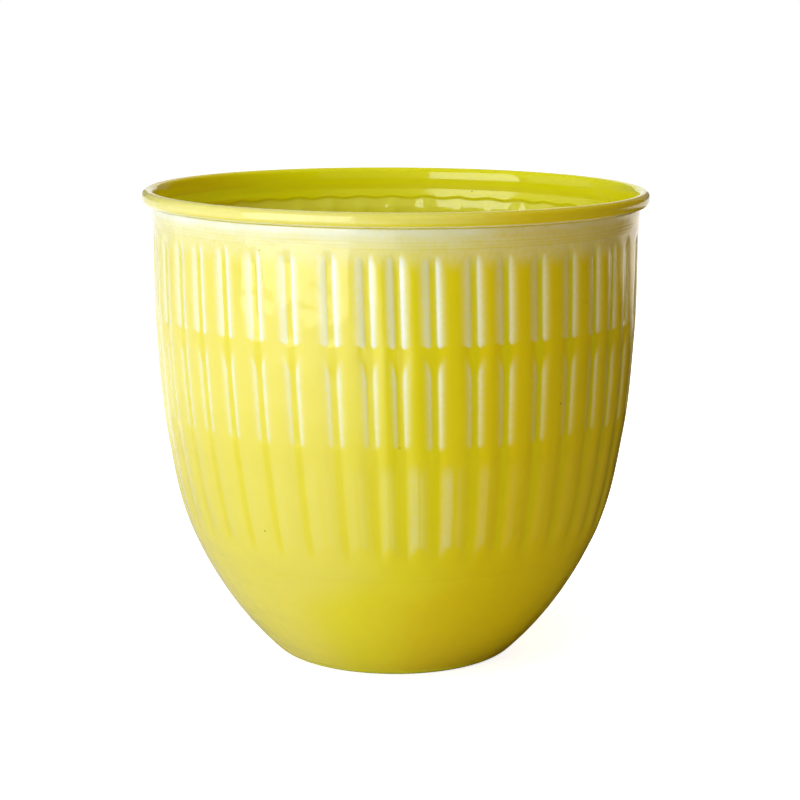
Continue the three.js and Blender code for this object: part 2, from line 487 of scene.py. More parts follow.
@dataclass(frozen=True)
class EnamelFinish:
    """Glossy enamel thickly fired over an undercoat, thin on pressed edges, darker where it collects in
    hollows, with painted light and painted shade in its colour.
    """

    slot: Slot
    colour: Colour = (0.78, 0.688, 0.002, 1.0)
    pale: Colour = (0.80, 0.71, 0.006, 1.0)
    # Partly enamel collected in hollows, partly painted shade: groove floors, the bowl's seam and the neck
    # under the roll.
    pooled_and_shaded: Colour = (0.75, 0.655, 0.001, 1.0)
    # Painted shade: the darker, more orange yellow of the right side and the inside, which the lamps leave in
    # shade.
    side_shade: Colour = (0.78, 0.605, 0.001, 1.0)
    # Painted light: the brighter, greener yellow of the inside where light reaches it.
    inside: Colour = (0.88, 0.845, 0.002, 1.0)
    # Painted light: the paler, milkier yellow of the left side, which faces the main lamp.
    lit_side_pale: Colour = (0.79, 0.70, 0.085, 1.0)
    undercoat: Colour = (0.84, 0.9, 0.91, 1.0)
    speck: Colour = (0.16, 0.13, 0.03, 1.0)
    cloud_grains: float = 38.0
    cloud_span: Pair = (0.35, 0.7)
    edge_grains: float = 650.0
    edge_reach: float = 0.3
    speck_cells: float = 110.0
    speck_size: float = 0.035
    speck_share: float = 0.35
    roughness: float = 0.03
    smear_grains: float = 90.0
    smear: float = 0.05
    bare_dullness: float = 0.05
    refraction: float = 1.5
    coat: float = 0.42
    coat_lost_bare: float = 0.25
    # Less coat gloss where shade is painted.
    coat_lost_shade: float = 0.22
    coat_roughness: float = 0.48
    wave_grains: float = 95.0
    ripple_grains: float = 420.0
    ripple_share: float = 0.1
    peel_height: float = 0.13
    lumpiness: float = 3.4

    def make(self, peel: ShaderNodeTree, thin: ShaderNodeTree, specks: ShaderNodeTree) -> Material:
        """Builds the material.

        Args:
            peel: The group that gives the skin's height.
            thin: The group that gives the mask of thin places.
            specks: The group that gives the specks.

        Returns:
            The new material.
        """
        material, nodes, shader = new_material(self.slot.value)
        bare = nodes.group(thin, (nodes.stored("thin"), self.edge_grains, self.edge_reach))
        dust = nodes.group(specks, (self.speck_cells, self.speck_size, self.speck_share))
        # Painted light on the left side, from a stored mask.
        lit_side = nodes.stored("lit_side")
        # Painted shade on the right side and the inside, from a stored mask.
        side_shade_mask = nodes.stored("side_shade")
        cloud = nodes.span(nodes.noise(self.cloud_grains, 2.0), *self.cloud_span)
        body = self.colour
        for share, colour in (
            (cloud, self.pale), (lit_side, self.lit_side_pale), (side_shade_mask, self.side_shade), (nodes.stored("inner"), self.inside),
            (nodes.stored("pool_and_shade"), self.pooled_and_shaded), (bare, self.undercoat), (dust, self.speck),
        ):
            body = nodes.blend(share, body, colour)

        smear = nodes.times(nodes.noise(self.smear_grains, 2.0), self.smear)
        dull = nodes.times(bare, self.bare_dullness)
        lost = nodes.plus(nodes.times(bare, -self.coat_lost_bare), nodes.times(side_shade_mask, -self.coat_lost_shade))
        skin = nodes.group(peel, (self.wave_grains, self.ripple_grains, self.ripple_share))
        lumps = nodes.plus(nodes.times(lit_side, self.lumpiness), 1.0)
        nodes.fill(shader, {
            "Base Color": body,
            "Roughness": nodes.plus(nodes.plus(smear, dull), self.roughness),
            "IOR": self.refraction,
            "Coat Weight": nodes.plus(lost, self.coat),
            "Coat Roughness": self.coat_roughness,
            "Coat IOR": self.refraction,
            "Normal": nodes.relief(nodes.times(skin, lumps), self.peel_height),
        })
        return material


@dataclass(frozen=True)
class WireFinish:
    """Bare drawn steel wire with stains and a fine relief."""

    slot: Slot = Slot.WIRE
    bright: Colour = (0.62, 0.61, 0.59, 1.0)
    tarnished: Colour = (0.36, 0.34, 0.31, 1.0)
    stain_grains: float = 60.0
    stain_span: Pair = (0.4, 0.75)
    stain_dullness: float = 0.25
    roughness: float = 0.3
    wave_grains: float = 300.0
    ripple_grains: float = 2500.0
    ripple_share: float = 0.5
    relief: float = 0.01

    def make(self, peel: ShaderNodeTree) -> Material:
        """Builds the material.

        Args:
            peel: The group that gives the skin's height.

        Returns:
            The new material.
        """
        material, nodes, shader = new_material(self.slot.value)
        stain = nodes.span(nodes.noise(self.stain_grains, 4.0), *self.stain_span)
        skin = nodes.group(peel, (self.wave_grains, self.ripple_grains, self.ripple_share))
        nodes.fill(shader, {
            "Base Color": nodes.blend(stain, self.bright, self.tarnished),
            "Roughness": nodes.plus(nodes.times(stain, self.stain_dullness), self.roughness),
            "Metallic": 1.0,
            "Normal": nodes.relief(skin, self.relief),
        })
        return material


@dataclass
class Outline:
    """Outer outline of the pot: a foot fillet, then a smooth curve through the radius at each level."""

    foot_radius: float = 36.0
    foot_fillet: float = 11.5
    bowl_slope: float = 43.6
    levels: tuple[Pair, ...] = ((SEAM, 71.9), (82.0, 82.3), (116.5, 85.6), (155.0, 86.4))
    slope_reach: float = 0.01
    heights: Array = field(init=False)
    radii: Array = field(init=False)
    slopes: Array = field(init=False)

    def __post_init__(self) -> None:
        """Works out the slope of the curve at each level."""
        angle = math.radians(self.bowl_slope)
        start_height = self.foot_fillet * (1.0 - math.cos(angle))
        start_radius = self.foot_radius + self.foot_fillet * math.sin(angle)
        self.heights, self.radii = np.array(((start_height, start_radius), *self.levels)).T
        spans = np.diff(self.heights)
        rises = np.diff(self.radii) / spans
        between = (rises[:-1] * spans[1:] + rises[1:] * spans[:-1]) / (spans[:-1] + spans[1:])
        self.slopes = np.concatenate(([1.0 / math.tan(angle)], between, [0.0]))

    def radius(self, height: Array) -> Array:
        """Reads the outer radius at heights above the foot fillet.

        Args:
            height: The heights.

        Returns:
            The radius at each height.
        """
        height = np.minimum(np.asarray(height, dtype=float), self.heights[-1])
        low = np.clip(np.searchsorted(self.heights, height, side="right") - 1, 0, len(self.heights) - 2)
        span = self.heights[low + 1] - self.heights[low]
        part = (height - self.heights[low]) / span
        blend = part * part * (3.0 - 2.0 * part)
        pull = part * (1.0 - part) ** 2 * span * self.slopes[low]
        pull = pull + part * part * (part - 1.0) * span * self.slopes[low + 1]
        return self.radii[low] * (1.0 - blend) + self.radii[low + 1] * blend + pull

    def point(self, height: Array, sunk: Values) -> tuple[Array, Array]:
        """Sinks points of the outer face into the pot, square to the outline.

        Args:
            height: Heights of the points on the outer face.
            sunk: How deep each point is sunk.

        Returns:
            Radii and heights of the sunk points.
        """
        rise = self.radius(height + self.slope_reach) - self.radius(height - self.slope_reach)
        slope = rise / (2.0 * self.slope_reach)
        length = np.hypot(1.0, slope)
        return self.radius(height) - sunk / length, height + sunk * slope / length

    def line(self, height: Array, sunk: Values) -> Array:
        """Gives sunk points as rows of radius and height."""
        return np.column_stack(self.point(height, sunk))


@dataclass(frozen=True)
class Waviness:
    """Slow waves of hand-finished sheet, the same on every run."""

    seed: int
    height: float
    waves: int = 14
    fewest_around: int = 2
    most_around: int = 36
    steepest: float = 0.22

    def read(self, angle: Array, level: Array) -> Array:
        """Reads how far the sheet stands out.

        Args:
            angle: Angles round the pot, in radians.
            level: Heights, in millimetres.

        Returns:
            The waves' height at each place, in millimetres.
        """
        chance = np.random.default_rng(self.seed)
        total = np.zeros(np.broadcast(angle, level).shape)
        for _ in range(self.waves):
            around_pot = chance.integers(self.fewest_around, self.most_around)
            upward = chance.uniform(-self.steepest, self.steepest)
            start = chance.uniform(0.0, FULL_TURN)
            total += np.sin(around_pot * angle + upward * level + start)
        return total * self.height / math.sqrt(self.waves)


@dataclass
class BaseBowl:
    """Smooth drawn bowl with a ring to stand on and a collar that slides up into the wall."""

    outline: Outline
    collar_top: float = 49.4
    collar_inset: float = 0.95
    ring_width: float = 6.0
    recess: float = 1.5
    recess_slope: float = 2.5
    spin_rings: Series = (9.0, 13.5, 19.0, 25.0, 33.0, 36.5)
    spin_height: float = 0.035
    spin_width: float = 1.1
    waves: Waviness = Waviness(seed=5, height=0.035)
    wavy_radii: Pair = (34.0, 52.0)
    calm_rows: float = 6.0
    face_reach: float = 0.5
    lowest_read: float = 3.2
    # Darker band along the seam's valley: partly enamel collecting, partly painted shade.
    pooling: float = 0.15
    pool_width: float = 1.4
    # Painted shade: lower on the bowl, the shaded side reaches further round towards the front.
    shade_lead: float = 16.0
    lead_heights: Pair = (45.0, 28.0)
    sharpest: float = 48.0
    steps: int = 288

    def profile(self) -> Array:
        """Draws the bowl's section from the axis round the outside and back along the inside.

        Returns:
            Points as rows of radius and height.
        """
        foot = self.outline.foot_radius
        fillet = self.outline.foot_fillet
        turn_end = self.outline.bowl_slope - 90.0
        ring_inside = foot - self.ring_width
        recess_edge = ring_inside - self.recess_slope
        middle = np.linspace(0.0, recess_edge, 6)[:-1]
        slope = np.linspace(recess_edge, ring_inside, 9)
        rise = self.recess * (1.0 - ease(recess_edge, ring_inside, slope))
        floor = np.vstack((
            np.column_stack((middle, np.full(len(middle), self.recess))),
            np.column_stack((slope, rise)),
        ))
        heights = np.linspace(self.outline.heights[0], SEAM - HAIR, 74)[1:]
        sunk = valley(heights)
        for ring in self.spin_rings:
            sunk = sunk - self.spin_height * bump(ring, self.spin_width, heights)
        collar = np.linspace(SEAM, self.collar_top, 6)
        return np.vstack((
            floor,
            arc((foot, fillet), fillet, -90.0, turn_end, 12),
            self.outline.line(heights, sunk),
            self.outline.line(collar, self.collar_inset),
            self.outline.line(collar[::-1], self.collar_inset + SHEET),
            self.outline.line(heights[::-4], SHEET + sunk[::-4]),
            arc((foot, fillet), fillet - SHEET, turn_end, -90.0, 10),
            floor[::-1] + (0.0, SHEET),
        ))

    def build(self) -> Object:
        """Turns the bowl and gives it its slow waves.

        Returns:
            The bowl.
        """
        bowl = turn("base_bowl_enamelled", self.profile(), self.steps)
        places, angle, radius, height = read_vertices(bowl)
        waves = self.waves.read(angle, height)
        waves *= ease(*self.wavy_radii, radius) * ease(SEAM, SEAM - self.calm_rows, height)
        places[:, :2] *= (1.0 + waves / np.maximum(radius, 1.0))[:, None]
        set_vertex_places(bowl, places)
        smooth(bowl, self.sharpest)
        return bowl

    def dress(self, bowl: Object, material: Material) -> None:
        """Stores where the enamel collects and where light and shade are painted, and gives the bowl its
        finish.

        Args:
            bowl: The built bowl.
            material: Its finish.
        """
        places, angle, radius, height = read_vertices(bowl)
        outer = radius > self.outline.radius(np.maximum(height, self.lowest_read)) - self.face_reach
        pool_and_shade = self.pooling * outer * bump(SEAM, self.pool_width, height)
        lead = self.shade_lead * ease(*self.lead_heights, height)
        lay_coat(bowl, np.zeros(len(places)), pool_and_shade, outer, np.degrees(angle), lead)
        settle(bowl, "base_bowl", material)


@dataclass(frozen=True)
class FluteTier:
    """One tier of grooves: where it runs, how it fades, and how thin the enamel on its edges is."""

    foot: float
    top: float
    depth: float
    crispness: float
    foot_run: float
    top_run: float
    thin_top: float
    thin_foot: float
    thin_run: float
    thin_blur: float
    thin_left: Series
    thin_right: Series
    thin_tips: Series = (0.0,) * 8
    thin_curve: float = 1.0


@dataclass
class FlutedWall:
    """Sleeve pressed with grooves in three tiers between rounded panels, with a collar inside the neck."""

    outline: Outline
    hem: float = 42.51
    joggle: float = 156.33
    collar_top: float = 159.4
    collar_outside: Pair = (0.75, 0.47)
    collar_inside: Pair = (1.6, 1.04)
    collar_gap: float = 0.4
    collar_rows: int = 6
    flute_count: int = 42
    last_panel: float = 6.3
    first_groove: float = -0.4
    lean: float = 2.4
    lean_heights: Pair = (155.0, 51.0)
    tiers: dict[Tier, FluteTier] = field(default_factory=lambda: {
        Tier.LOWER: FluteTier(
            foot=50.5, top=86.0, depth=0.5, crispness=0.25, foot_run=4.5, top_run=9.0,
            thin_top=0.8, thin_foot=1.0, thin_run=7.0, thin_blur=0.9, thin_curve=4.0,
            thin_left=(0.0, 0.0, 0.0, 0.0, 0.02, 0.04, 0.1, 0.18),
            thin_right=(0.0, 0.0, 0.0, 0.04, 0.12, 0.24, 0.3, 0.27)),
        Tier.MIDDLE: FluteTier(
            foot=89.5, top=121.5, depth=0.64, crispness=1.0, foot_run=2.6, top_run=8.0,
            thin_top=1.0, thin_foot=0.65, thin_run=3.0, thin_blur=1.2,
            thin_left=(0.0, 0.03, 0.3, 0.44, 0.32, 0.08, 0.0, 0.0),
            thin_right=(0.0, 0.03, 0.3, 0.7, 0.52, 0.14, 0.02, 0.0),
            thin_tips=(7.0, 6.5, 5.5, 3.6, 2.0, 0.0, 0.0, 0.0)),
        Tier.UPPER: FluteTier(
            foot=124.0, top=156.0, depth=0.68, crispness=1.0, foot_run=2.6, top_run=6.0,
            thin_top=1.0, thin_foot=1.0, thin_run=4.5, thin_blur=0.4,
            thin_left=(0.0, 0.06, 0.34, 0.5, 0.5, 0.36, 0.1, 0.0),
            thin_right=(0.0, 0.1, 0.6, 0.94, 0.7, 0.28, 0.06, 0.0)),
    })
    nudges: dict[int, float] = field(default_factory=lambda: {
        3: -0.9, 4: -0.8, 5: -0.4, 7: -1.2, 8: -1.3, 40: 0.6, 38: -0.3, 37: -0.5,
    })
    error_seed: int = 11
    end_error: float = 0.3
    strength_error: float = 0.05
    angle_seed: int = 3
    angle_error: float = 0.18
    across: Series = (0.0, 0.9, 1.2, 1.7, 2.2, 3.1, 4.2, 5.4)
    panel_share: float = 0.93
    left_press: Series = (1.0, 0.97, 0.86, 0.66, 0.5, 0.3, 0.12, 0.02)
    right_press: Series = (1.0, 1.0, 0.93, 0.68, 0.43, 0.2, 0.06, 0.0)
    inner_press: Series = (1.0, 1.0, 0.97, 0.82, 0.58, 0.3, 0.1, 0.02)
    break_press: Series = (0.68, 0.67, 0.66, 0.63, 0.57, 0.36, 0.12, 0.0)
    crisp_lead: float = 0.6
    fade_lead: float = 3.5
    inner_raise: float = 1.5
    thin_ends: Series = (1.2, 0.8, 0.4, 0.0, 0.0, 0.5, 0.8, 1.0)
    thin_lead: float = 0.3
    tip_lead: float = 0.5
    # Painted sheen: the lower tier's pale edges show mostly near the front, where the lamp's sheen lies.
    lower_sheen: Pair = (0.12, 0.7)
    lower_sheen_place: Pair = (8.0, 13.0)
    lower_height: float = 70.0
    top_thinness: float = 0.24
    top_thinning: Pair = (148.0, 156.0)
    # Darker groove floors: partly enamel collecting, partly painted shade.
    pooling: Series = (1.0, 0.95, 0.6, 0.2, 0.0, 0.0, 0.0, 0.0)
    pool_gain: float = 1.5
    outer_zones: tuple[tuple[float, int], ...] = (
        (44.0, 2), (51.0, 4), (61.0, 6), (76.0, 6), (84.0, 7), (88.4, 4), (91.6, 9), (110.0, 6), (118.4, 8),
        (122.8, 5), (126.2, 10), (147.0, 7), (155.6, 9), (156.2, 1),
    )
    inner_zones: tuple[tuple[float, int], ...] = (
        (51.0, 3), (61.0, 3), (76.0, 4), (84.0, 3), (88.4, 2), (91.6, 4), (110.0, 4), (118.4, 3), (122.8, 2),
        (126.2, 4), (147.0, 4), (153.0, 4), (157.0, 5),
    )
    waves: Waviness = Waviness(seed=7, height=0.04)
    wavy_from: Pair = (43.0, 48.0)
    wavy_to: Pair = (155.5, 150.0)
    inside_swell: Pair = (1.15, 0.5)
    swell_rise: Pair = (145.0, 153.0)
    swell_fall: Pair = (152.5, 157.5)
    inside_wave: float = 0.35
    wave_rise: Pair = (155.0, 156.8)
    wave_fall: Pair = (158.8, 157.6)
    # Painted light: the inner face below the collar is painted paler, most near the top and less towards the
    # bottom, where less light reaches.
    inside_painted_light: float = 0.07
    pale_edge: Pair = (157.2, 156.6)
    pale_rise: Pair = (95.0, 145.0)
    pale_least: float = 0.2
    sharpest: float = 75.0
    feet: dict[Tier, Array] = field(init=False, default_factory=dict)
    tops: dict[Tier, Array] = field(init=False, default_factory=dict)
    strengths: Array = field(init=False)
    lower_sheen_share: Array = field(init=False)
    shares: Array = field(init=False)

    def __post_init__(self) -> None:
        """Gives each groove of each tier its own small errors, the same on every run."""
        chance = np.random.default_rng(self.error_seed)
        for name, tier in self.tiers.items():
            self.feet[name] = tier.foot + chance.normal(0.0, self.end_error, self.flute_count)
            self.tops[name] = tier.top + chance.normal(0.0, self.end_error, self.flute_count)
        self.strengths = 1.0 + chance.normal(0.0, self.strength_error, self.flute_count)
        turned = wrapped(np.degrees(self.grooves(np.array([self.lower_height]))[0]))
        least, more = self.lower_sheen
        self.lower_sheen_share = least + more * bump(*self.lower_sheen_place, turned)
        # The pale edges are dimmed on the right by the painted shade.
        self.shares = coat_share(turned)

    def rows(self, face: Face) -> tuple[Array, Array]:
        """Lists the rows of one face from the hem to the collar's top.

        Args:
            face: The face of the sheet.

        Returns:
            Height of each row, and how far the row is set in from the outline.
        """
        if face is Face.OUTER:
            heights = np.append(climb(self.hem, self.outer_zones), self.joggle)
            plain = np.zeros(len(heights))
            insets = self.collar_outside
            collar_foot = self.joggle + 2.0 * HAIR
        else:
            heights = climb(self.hem, self.inner_zones)
            swell, neck = self.inside_swell
            plain = SHEET + swell * ease(*self.swell_rise, heights)
            plain = plain + (neck - swell) * ease(*self.swell_fall, heights)
            insets = self.collar_inside
            collar_foot = heights[-1] + self.collar_gap
        collar = np.linspace(collar_foot, self.collar_top, self.collar_rows)
        return np.append(heights, collar), np.append(plain, np.linspace(*insets, self.collar_rows))

    def pressing(self, height: Array, face: Face) -> tuple[Array, Array]:
        """Works out how each groove is pressed at each height.

        Args:
            height: Heights of the rows.
            face: The face of the sheet; the inner face shows the grooves a little higher up.

        Returns:
            Depth of the groove and how crisp it is, each with a row per height and a column per groove.
        """
        level = height[:, None]
        crisp = np.zeros((len(height), self.flute_count))
        middles = [(tier.foot + tier.top) / 2 for tier in self.tiers.values()]
        depths = [tier.depth for tier in self.tiers.values()]
        depth = np.interp(height, middles, depths)[:, None] * self.strengths
        for name, tier in self.tiers.items():
            foot = self.feet[name]
            top = self.tops[name]
            start = tier.crispness * ease(foot - self.crisp_lead, foot + tier.foot_run, level)
            if name is Tier.UPPER:
                crisp += start
                raised = top + (self.inner_raise if face is Face.INNER else 0.0)
                depth = depth * ease(raised, raised - tier.top_run, level)
            else:
                crisp += start * ease(top, top - tier.top_run, level)
            if name is Tier.LOWER:
                depth = depth * ease(foot - self.fade_lead, foot + tier.foot_run, level)
        return depth, np.minimum(crisp, 1.0)

    def bareness(self, height: Array) -> Array:
        """Works out how thin the enamel has drawn on the grooves' edges.

        Args:
            height: Heights of the rows.

        Returns:
            Thinness by row, groove and place across the groove.
        """
        level = height[:, None]
        ends = over_groove(self.thin_ends, self.thin_ends, self.thin_ends[-1])
        thin = np.zeros((len(height), self.flute_count, len(ends)))
        for name, tier in self.tiers.items():
            foot = self.feet[name]
            top = self.tops[name]
            change = (tier.thin_top - tier.thin_foot) * ease(foot, top, level)
            strength = self.shares * (tier.thin_foot + change)
            # Painted sheen: the lower tier's pale edges are shown mostly near the front.
            if name is Tier.LOWER:
                strength = strength * self.lower_sheen_share
            end = foot[None, :, None] + tier.thin_curve * ends + tier.thin_blur - self.thin_lead
            shown = ease(end - tier.thin_blur, end + tier.thin_blur, level[:, :, None])
            tip = top[None, :, None] - over_groove(tier.thin_tips, tier.thin_tips)
            shown = shown * ease(tip + self.tip_lead, tip - tier.thin_run, level[:, :, None])
            thin += strength[:, :, None] * over_groove(tier.thin_left, tier.thin_right) * shown
        return thin

    def grooves(self, height: Array) -> Array:
        """Gives the angle of each groove's middle.

        Args:
            height: Heights of the rows.

        Returns:
            Angles in radians, a row per height and a column per groove.
        """
        pitch = (360.0 - self.last_panel) / (self.flute_count - 1)
        angle = self.first_groove + pitch * np.arange(self.flute_count)
        angle += np.random.default_rng(self.angle_seed).normal(0.0, self.angle_error, self.flute_count)
        for groove, nudge in self.nudges.items():
            angle[groove] = self.first_groove + pitch * groove + nudge
        top, foot = self.lean_heights
        fall = (top - height) / (top - foot)
        return np.radians(angle[None, :] + self.lean * fall[:, None])

    def columns(self, height: Array) -> Array:
        """Places the columns of the wall, close together at the grooves' edges.

        Args:
            height: Heights of the rows.

        Returns:
            Angles in radians, by row, groove and place across the groove.
        """
        middle = self.grooves(height)
        after = np.roll(middle, -1, axis=1)
        after[:, -1] += FULL_TURN
        before = np.roll(middle, 1, axis=1)
        before[:, 0] -= FULL_TURN
        radius = self.outline.levels[-1][1]
        reach = np.array(self.across[1:])
        sides = []
        for room in ((middle - before) / 2.0, (after - middle) / 2.0):
            excess = np.maximum(reach[-1] - self.panel_share * room * radius, 0.0)
            squeezed = reach - excess[:, :, None] * (reach / reach[-1]) ** 2
            sides.append(squeezed / radius)
        left = middle[:, :, None] - sides[0][:, :, ::-1]
        right = middle[:, :, None] + sides[1]
        panel = ((before + middle) / 2.0)[:, :, None]
        return np.concatenate((panel, left, middle[:, :, None], right), axis=2)

    def face_places(self, face: Face) -> tuple[Array, Array, Array]:
        """Places one face of the wall.

        Args:
            face: The face of the sheet.

        Returns:
            Places by row and column, and the thinness and pooling of the enamel there.
        """
        outer = face is Face.OUTER
        height, inset = self.rows(face)
        depth, crisp = (part[:, :, None] for part in self.pressing(height, face))
        angle = self.columns(height)
        sides = (self.left_press, self.right_press) if outer else (self.inner_press, self.inner_press)
        press = crisp * over_groove(*sides) + (1.0 - crisp) * over_groove(self.break_press, self.break_press)
        sunk = depth * press + (inset + valley(height))[:, None, None]
        level = np.broadcast_to(height[:, None, None], sunk.shape)
        waves = self.waves.read(angle, level) * (ease(*self.wavy_from, level) * ease(*self.wavy_to, level))
        radius, raised = self.outline.point(level, sunk - waves)
        if outer:
            thin = np.maximum(self.bareness(height), self.top_thinness * ease(*self.top_thinning, level))
            # Groove floors darkened: partly enamel collecting, partly painted shade.
            pool_and_shade = np.clip(self.pool_gain * depth * over_groove(self.pooling, self.pooling), 0.0, 1.0)
        else:
            phase = self.flute_count * (angle - self.grooves(np.array(self.lean_heights[:1]))[:, :, None])
            edge = ease(*self.wave_rise, level) * ease(*self.wave_fall, level)
            raised = raised + self.inside_wave * np.cos(phase) * edge
            # Painted light on the inner face, strongest just below the collar near the top.
            shown = self.pale_least + (1.0 - self.pale_least) * ease(*self.pale_rise, level)
            thin = self.inside_painted_light * (ease(*self.pale_edge, level) * shown)
            pool_and_shade = np.zeros(sunk.shape)
        places = np.stack((radius * np.sin(angle), -radius * np.cos(angle), raised), axis=-1)
        shape = (len(height), -1)
        return places.reshape(*shape, 3), thin.reshape(shape), pool_and_shade.reshape(shape)

    def build(self) -> Object:
        """Turns the plain sleeve, then presses the grooves by moving its vertices row by row.

        Returns:
            The wall.
        """
        outside, inside = (self.outline.line(*self.rows(face)) for face in Face)
        profile = np.vstack((outside, inside[::-1]))
        both = zip(*(self.face_places(face) for face in Face))
        places, thin, pool_and_shade = (np.concatenate((outer, inner[::-1])) for outer, inner in both)
        steps = places.shape[1]
        wall = turn("fluted_wall_enamelled", closed(profile), steps)
        _, angle, radius, height = read_vertices(wall)
        column = np.round(angle / FULL_TURN * steps).astype(int) % steps
        row = nearest_rows(profile, np.column_stack((radius, height)))
        set_vertex_places(wall, places[row, column])
        lay_coat(wall, thin[row, column], pool_and_shade[row, column], row < len(outside), np.degrees(angle))
        smooth(wall, self.sharpest)
        return wall

    def dress(self, wall: Object, material: Material) -> None:
        """Gives the wall its finish."""
        settle(wall, "fluted_wall", material)


@dataclass
class RimRing:
    """Strip that makes the neck, drawn in to a waist, flared and curled round the wire."""

    foot: float = 156.35
    foot_radius: float = 86.4
    crest: float = 162.6
    crest_radius: float = 86.8
    waist: float = 163.7
    waist_radius: float = 86.3
    flare_radius: float = 10.0
    flare_angle: float = 19.0
    curl_inside: float = 1.3
    curl_drop: float = 1.05
    curl_slit: float = 0.35
    filled_from: float = 160.75
    ridges: tuple[Pair, ...] = ((157.0, 0.02), (158.0, 0.03), (159.3, 0.025))
    ridge_width: float = 0.3
    ridge_thinness: float = 0.12
    neck_past_crest: float = 0.3
    neck_past_waist: float = 0.4
    neck_thinness: float = 0.23
    neck_thinning: tuple[Triple, ...] = ((0.14, 156.5, 160.0), (0.4, 159.0, 162.4))
    neck_end: Pair = (163.1, 162.7)
    patches: Waviness = Waviness(seed=23, height=0.14)
    patch_stretch: float = 7.0
    # Painted shadow: the neck just under the roll is darkened.
    roll_shadow_start: Pair = (162.8, 163.2)
    roll_past_crest: float = 1.0
    lip_thinness: float = 0.5
    lip_place: Pair = (0.35, 0.28)
    roll_thinness: float = 0.13
    roll_thinning: Pair = (0.8, 2.0)
    # Painted shade: the curl's pale band is dimmed on the shaded right.
    roll_cover: float = 0.9
    sharpest: float = 48.0
    steps: int = 336

    def curl_centre(self) -> Pair:
        """Gives the middle of the curl's top.

        Returns:
            Its radius and height.
        """
        middle = self.flare_radius - self.curl_inside - SHEET / 2
        angle = math.radians(self.flare_angle)
        waist = self.waist_radius - SHEET / 2
        return waist + self.flare_radius - middle * math.cos(angle), self.waist + middle * math.sin(angle)

    def neck_heights(self) -> Array:
        """Spaces the rows of the neck, from its foot to the waist."""
        band = np.linspace(self.foot, self.crest, 27)[:-1]
        return np.concatenate((band, np.linspace(self.crest, self.waist, 15)))

    def middle_line(self) -> Array:
        """Draws the middle of the strip from the neck's foot to the free edge of the curl.

        Returns:
            Points as rows of radius and height.
        """
        height = self.neck_heights()
        band = self.foot_radius + (self.crest_radius - self.foot_radius) * ease(self.foot, self.crest, height)
        band = band + (self.waist_radius - self.crest_radius) * ease(self.crest, self.waist, height)
        for ridge, rise in self.ridges:
            band = band + rise * bump(ridge, self.ridge_width, height)
        top = self.curl_centre()
        foot = (top[0], top[1] - self.curl_drop)
        middle = self.curl_inside + SHEET / 2
        slit = (self.waist_radius + self.curl_slit - foot[0]) / (self.curl_inside + SHEET)
        flare_centre = (self.waist_radius - SHEET / 2 + self.flare_radius, self.waist)
        return np.vstack((
            np.column_stack((band - SHEET / 2, height)),
            arc(flare_centre, self.flare_radius, 180.0, 180.0 - self.flare_angle, 6)[1:],
            arc(top, middle, 180.0 - self.flare_angle, 0.0, 18)[1:],
            arc(foot, middle, 0.0, -math.degrees(math.acos(slit)), 14),
        ))

    def build(self) -> Object:
        """Turns the strip, with the hollow behind the neck's bead filled and smooth inside.

        Returns:
            The ring.
        """
        middle = self.middle_line()
        inside = beside(middle, -SHEET / 2)
        height = self.neck_heights()
        inside[:len(height)] = np.column_stack((middle[:len(height), 0] - SHEET / 2, height))
        inside[:len(height), 0][height > self.filled_from] = self.waist_radius - SHEET
        section = np.vstack((beside(middle, SHEET / 2), inside[::-1]))
        ring = turn("rim_ring_enamelled", closed(section), self.steps)
        smooth(ring, self.sharpest)
        return ring

    def dress(self, ring: Object, material: Material) -> None:
        """Stores where the enamel has drawn off the neck and the curl's edge, where shade is painted under
        the roll and on the right, and gives the ring its finish.

        Args:
            ring: The built ring.
            material: Its finish.
        """
        places, angle, radius, height = read_vertices(ring)
        degrees = np.degrees(angle)
        neck = self.middle_line()[:len(self.neck_heights()) - 1]
        outside = radius > np.interp(height, neck[:, 1], neck[:, 0])
        outside &= radius < self.crest_radius + self.neck_past_crest
        outside &= height < self.waist + self.neck_past_waist
        drawn = np.full(len(places), self.neck_thinness)
        for rise, low, high in self.neck_thinning:
            drawn = drawn + rise * ease(low, high, height)
        # Painted shade dims the neck's pale places on the right.
        drawn = drawn * coat_share(degrees)
        drawn = drawn * (1.0 + self.patches.read(angle, self.patch_stretch * height))
        drawn = drawn * ease(*self.neck_end, height)
        for ridge, _ in self.ridges:
            drawn = drawn + self.ridge_thinness * bump(ridge, self.ridge_width, height)
        foot = self.curl_centre()[1] - self.curl_drop - self.curl_inside - SHEET
        roll = radius > self.crest_radius + self.roll_past_crest
        lip_height, lip_width = self.lip_place
        lip = self.lip_thinness * bump(foot + lip_height, lip_width, height)
        low, high = self.roll_thinning
        rolled = self.roll_thinness * ease(foot + low, foot + high, height)
        # Painted shade dims the curl's pale band on the right.
        lip = lip + rolled * (1.0 - self.roll_cover * side_shade_share(degrees))
        thin = np.clip(outside * drawn + roll * lip, 0.0, 1.0)
        # Painted shadow on the neck's outside just under the roll.
        lay_coat(ring, thin, outside * ease(*self.roll_shadow_start, height), outside | roll, degrees)
        settle(ring, "rim_ring", material)


@dataclass
class RimWire:
    """Steel wire that the curl is rolled round."""

    rim: RimRing
    diameter: float = 2.0
    sharpest: float = 60.0
    steps: int = 240

    def build(self) -> Object:
        """Turns the wire in the middle of the curl.

        Returns:
            The wire.
        """
        top = self.rim.curl_centre()
        centre = (top[0], top[1] - self.rim.curl_drop / 2)
        wire = turn("rim_wire_drawn", arc(centre, self.diameter / 2, 0.0, 360.0, 16), self.steps)
        smooth(wire, self.sharpest)
        return wire

    def dress(self, wire: Object, material: Material) -> None:
        """Gives the wire its finish."""
        settle(wire, "rim_wire", material)


